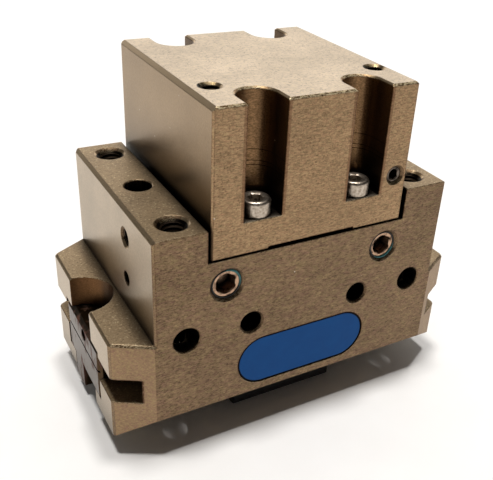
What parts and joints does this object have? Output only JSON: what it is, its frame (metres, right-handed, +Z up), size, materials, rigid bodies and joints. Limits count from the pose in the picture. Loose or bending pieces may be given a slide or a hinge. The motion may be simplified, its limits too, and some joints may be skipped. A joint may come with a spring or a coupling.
{
  "type": "parallel gripper",
  "caption": "Pneumatic parallel gripper: anodised housing with T-slot feet, opposed sliding base jaws, wedge-hook piston drive and a bolted spring block on its back.",
  "frame": {"origin": "on the surface that the dust cover stands on, below the middle of the body", "axes": "+X along the jaw stroke towards the right jaw, +Y through the depth to the rear face, +Z up to the robot side"},
  "size_m": [0.075, 0.042, 0.0671],
  "materials": {
    "hard_anodised": "bronze hard-anodised, fine matt grain",
    "jaw_steel": "ground tool steel with light rust",
    "turned_aluminium": "turned",
    "seal_rubber": "matt nitrile rubber",
    "bright_screw": "bright zinc-plated",
    "plug_steel": "dull steel",
    "spring_steel": "drawn spring wire",
    "plate_film": "plain blue film on a thin plate",
    "cover_black": "matt black"
  },
  "bodies": {
    "body": {"housing": "hard_anodised", "spring_housing": "hard_anodised", "block_screw_front_left": "bright_screw", "block_screw_front_right": "bright_screw", "block_screw_rear_left": "bright_screw", "block_screw_rear_right": "bright_screw", "port_plug_left": "plug_steel", "port_plug_right": "plug_steel", "vent_plug": "plug_steel", "name_plate": "plate_film", "dust_cover": "cover_black", "cover_screw_front_left": "plug_steel", "cover_screw_front_right": "plug_steel", "cover_screw_rear_left": "plug_steel", "cover_screw_rear_right": "plug_steel", "cylinder_seal": "seal_rubber", "rod_seal": "seal_rubber", "closing_spring": "spring_steel"},
    "drive": {"piston": "turned_aluminium", "piston_seal": "seal_rubber", "piston_screw": "bright_screw", "wedge_hook": "jaw_steel", "spring_seat": "spring_steel"},
    "left_jaw": {"base_jaw_left": "jaw_steel"},
    "right_jaw": {"base_jaw_right": "jaw_steel"}
  },
  "joints": [
    {"name": "drive_slide", "type": "slide", "parent": "body", "child": "drive", "axis": [0, 0, 1], "range_m": [0, 0.006], "stiffness_N_per_m": 12700, "springref_m": -0.0047, "deforming": ["closing_spring"]},
    {"name": "left_jaw_slide", "type": "slide", "parent": "body", "child": "left_jaw", "axis": [-1, 0, 0], "range_m": [0, 0.003]},
    {"name": "right_jaw_slide", "type": "slide", "parent": "body", "child": "right_jaw", "axis": [1, 0, 0], "range_m": [0, 0.003]}
  ],
  "couplings": [
    {"joint": "left_jaw_slide", "follows": "drive_slide", "ratio": 0.5},
    {"joint": "right_jaw_slide", "follows": "drive_slide", "ratio": 0.5}
  ]
}
